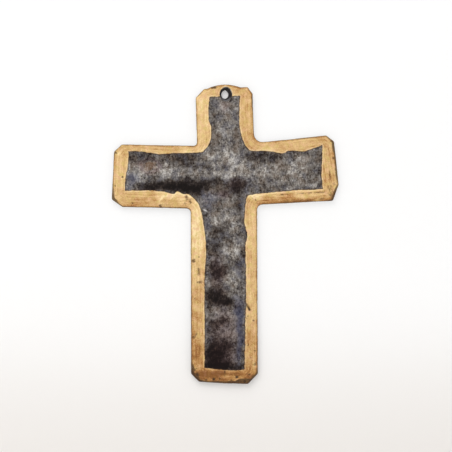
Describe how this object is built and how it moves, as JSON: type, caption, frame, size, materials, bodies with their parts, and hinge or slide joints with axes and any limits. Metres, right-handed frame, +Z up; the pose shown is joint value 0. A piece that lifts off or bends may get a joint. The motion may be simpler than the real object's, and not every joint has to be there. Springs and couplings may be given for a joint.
{
  "type": "iron grave cross",
  "caption": "Small flat grave cross cut by hand from iron plate, with snipped corners, a punched hole to hang it by and a brushed gold border round a bare dark field.",
  "frame": {"origin": "centre of the hanging hole, on the plate's flat back face", "axes": "+Z up from foot to head, painted front faces -Y, +X to the right as seen from the front"},
  "size_m": [0.0726, 0.0015, 0.0959],
  "materials": {
    "painted_iron": "hand-brushed ochre-gold border paint, worn and rust-flecked, round a field of bare, mottled dark iron"
  },
  "bodies": {
    "root": {"cross_plate": "painted_iron"}
  },
  "joints": []
}
